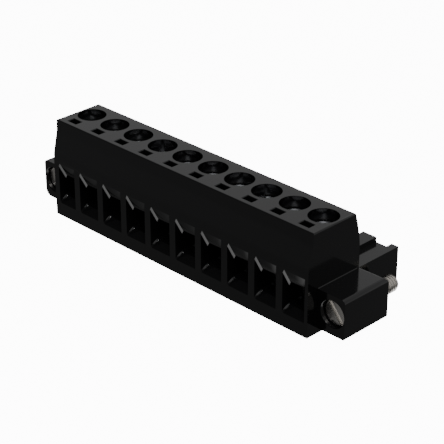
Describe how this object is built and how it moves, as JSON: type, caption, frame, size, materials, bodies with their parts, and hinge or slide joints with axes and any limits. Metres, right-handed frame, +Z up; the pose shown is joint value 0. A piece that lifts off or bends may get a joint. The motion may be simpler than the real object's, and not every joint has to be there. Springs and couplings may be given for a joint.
{
  "type": "circuit board connector",
  "caption": "Pluggable screw terminal plug: long black moulded housing with a row of wire funnels, screw-driven wire clamps, spring contacts at the rear and a captive screw in each end flange.",
  "frame": {"origin": "on the bottom face of the housing, below the middle of the row of clamp screws", "axes": "+X along the row of poles, to the right seen from the wire side; +Y towards the header; +Z up, the side the clamp screws are turned from"},
  "size_m": [0.0602, 0.0181, 0.0152],
  "materials": {
    "housing_plastic": "black moulded thermoplastic, smooth",
    "tinned_strip": "tin-plated copper alloy strip",
    "zinc_plated_steel": "zinc-plated steel",
    "clamp_screw_steel": "zinc-plated steel, turned",
    "flange_screw_steel": "nickel-plated steel, turned"
  },
  "bodies": {
    "housing": {"housing": "housing_plastic", "flange_left": "housing_plastic", "flange_right": "housing_plastic", "contact_01": "tinned_strip", "contact_02": "tinned_strip", "contact_03": "tinned_strip", "contact_04": "tinned_strip", "contact_05": "tinned_strip", "contact_06": "tinned_strip", "contact_07": "tinned_strip", "contact_08": "tinned_strip", "contact_09": "tinned_strip", "contact_10": "tinned_strip"},
    "clamp_screw_01": {"clamp_screw_01": "clamp_screw_steel"},
    "clamp_yoke_01": {"clamp_yoke_01": "zinc_plated_steel"},
    "clamp_screw_02": {"clamp_screw_02": "clamp_screw_steel"},
    "clamp_yoke_02": {"clamp_yoke_02": "zinc_plated_steel"},
    "clamp_screw_03": {"clamp_screw_03": "clamp_screw_steel"},
    "clamp_yoke_03": {"clamp_yoke_03": "zinc_plated_steel"},
    "clamp_screw_04": {"clamp_screw_04": "clamp_screw_steel"},
    "clamp_yoke_04": {"clamp_yoke_04": "zinc_plated_steel"},
    "clamp_screw_05": {"clamp_screw_05": "clamp_screw_steel"},
    "clamp_yoke_05": {"clamp_yoke_05": "zinc_plated_steel"},
    "clamp_screw_06": {"clamp_screw_06": "clamp_screw_steel"},
    "clamp_yoke_06": {"clamp_yoke_06": "zinc_plated_steel"},
    "clamp_screw_07": {"clamp_screw_07": "clamp_screw_steel"},
    "clamp_yoke_07": {"clamp_yoke_07": "zinc_plated_steel"},
    "clamp_screw_08": {"clamp_screw_08": "clamp_screw_steel"},
    "clamp_yoke_08": {"clamp_yoke_08": "zinc_plated_steel"},
    "clamp_screw_09": {"clamp_screw_09": "clamp_screw_steel"},
    "clamp_yoke_09": {"clamp_yoke_09": "zinc_plated_steel"},
    "clamp_screw_10": {"clamp_screw_10": "clamp_screw_steel"},
    "clamp_yoke_10": {"clamp_yoke_10": "zinc_plated_steel"},
    "flange_screw_left": {"flange_screw_left": "flange_screw_steel"},
    "flange_screw_right": {"flange_screw_right": "flange_screw_steel"}
  },
  "joints": [
    {"name": "clamp_screw_01_turn", "type": "hinge", "parent": "housing", "child": "clamp_screw_01", "pos_m": [-0.02286, 0, 0.009], "axis": [0, 0, -1], "range_deg": [0, 1944.1]},
    {"name": "clamp_yoke_01_rise", "type": "slide", "parent": "housing", "child": "clamp_yoke_01", "axis": [0, 0, 1], "range_m": [0, 0.0027]},
    {"name": "clamp_screw_02_turn", "type": "hinge", "parent": "housing", "child": "clamp_screw_02", "pos_m": [-0.01778, 0, 0.009], "axis": [0, 0, -1], "range_deg": [0, 1944.1]},
    {"name": "clamp_yoke_02_rise", "type": "slide", "parent": "housing", "child": "clamp_yoke_02", "axis": [0, 0, 1], "range_m": [0, 0.0027]},
    {"name": "clamp_screw_03_turn", "type": "hinge", "parent": "housing", "child": "clamp_screw_03", "pos_m": [-0.0127, 0, 0.009], "axis": [0, 0, -1], "range_deg": [0, 1944.1]},
    {"name": "clamp_yoke_03_rise", "type": "slide", "parent": "housing", "child": "clamp_yoke_03", "axis": [0, 0, 1], "range_m": [0, 0.0027]},
    {"name": "clamp_screw_04_turn", "type": "hinge", "parent": "housing", "child": "clamp_screw_04", "pos_m": [-0.00762, 0, 0.009], "axis": [0, 0, -1], "range_deg": [0, 1944.1]},
    {"name": "clamp_yoke_04_rise", "type": "slide", "parent": "housing", "child": "clamp_yoke_04", "axis": [0, 0, 1], "range_m": [0, 0.0027]},
    {"name": "clamp_screw_05_turn", "type": "hinge", "parent": "housing", "child": "clamp_screw_05", "pos_m": [-0.00254, 0, 0.009], "axis": [0, 0, -1], "range_deg": [0, 1944.1]},
    {"name": "clamp_yoke_05_rise", "type": "slide", "parent": "housing", "child": "clamp_yoke_05", "axis": [0, 0, 1], "range_m": [0, 0.0027]},
    {"name": "clamp_screw_06_turn", "type": "hinge", "parent": "housing", "child": "clamp_screw_06", "pos_m": [0.00254, 0, 0.009], "axis": [0, 0, -1], "range_deg": [0, 1944.1]},
    {"name": "clamp_yoke_06_rise", "type": "slide", "parent": "housing", "child": "clamp_yoke_06", "axis": [0, 0, 1], "range_m": [0, 0.0027]},
    {"name": "clamp_screw_07_turn", "type": "hinge", "parent": "housing", "child": "clamp_screw_07", "pos_m": [0.00762, 0, 0.009], "axis": [0, 0, -1], "range_deg": [0, 1944.1]},
    {"name": "clamp_yoke_07_rise", "type": "slide", "parent": "housing", "child": "clamp_yoke_07", "axis": [0, 0, 1], "range_m": [0, 0.0027]},
    {"name": "clamp_screw_08_turn", "type": "hinge", "parent": "housing", "child": "clamp_screw_08", "pos_m": [0.0127, 0, 0.009], "axis": [0, 0, -1], "range_deg": [0, 1944.1]},
    {"name": "clamp_yoke_08_rise", "type": "slide", "parent": "housing", "child": "clamp_yoke_08", "axis": [0, 0, 1], "range_m": [0, 0.0027]},
    {"name": "clamp_screw_09_turn", "type": "hinge", "parent": "housing", "child": "clamp_screw_09", "pos_m": [0.01778, 0, 0.009], "axis": [0, 0, -1], "range_deg": [0, 1944.1]},
    {"name": "clamp_yoke_09_rise", "type": "slide", "parent": "housing", "child": "clamp_yoke_09", "axis": [0, 0, 1], "range_m": [0, 0.0027]},
    {"name": "clamp_screw_10_turn", "type": "hinge", "parent": "housing", "child": "clamp_screw_10", "pos_m": [0.02286, 0, 0.009], "axis": [0, 0, -1], "range_deg": [0, 1944.1]},
    {"name": "clamp_yoke_10_rise", "type": "slide", "parent": "housing", "child": "clamp_yoke_10", "axis": [0, 0, 1], "range_m": [0, 0.0027]},
    {"name": "flange_screw_left_turn", "type": "hinge", "parent": "housing", "child": "flange_screw_left", "pos_m": [-0.028, 0, 0.004], "axis": [0, 1, 0], "continuous": true},
    {"name": "flange_screw_right_turn", "type": "hinge", "parent": "housing", "child": "flange_screw_right", "pos_m": [0.028, 0, 0.004], "axis": [0, 1, 0], "continuous": true}
  ],
  "couplings": [
    {"joint": "clamp_screw_01_turn", "follows": "clamp_yoke_01_rise", "rad_per_m": 12566},
    {"joint": "clamp_screw_02_turn", "follows": "clamp_yoke_02_rise", "rad_per_m": 12566},
    {"joint": "clamp_screw_03_turn", "follows": "clamp_yoke_03_rise", "rad_per_m": 12566},
    {"joint": "clamp_screw_04_turn", "follows": "clamp_yoke_04_rise", "rad_per_m": 12566},
    {"joint": "clamp_screw_05_turn", "follows": "clamp_yoke_05_rise", "rad_per_m": 12566},
    {"joint": "clamp_screw_06_turn", "follows": "clamp_yoke_06_rise", "rad_per_m": 12566},
    {"joint": "clamp_screw_07_turn", "follows": "clamp_yoke_07_rise", "rad_per_m": 12566},
    {"joint": "clamp_screw_08_turn", "follows": "clamp_yoke_08_rise", "rad_per_m": 12566},
    {"joint": "clamp_screw_09_turn", "follows": "clamp_yoke_09_rise", "rad_per_m": 12566},
    {"joint": "clamp_screw_10_turn", "follows": "clamp_yoke_10_rise", "rad_per_m": 12566}
  ]
}
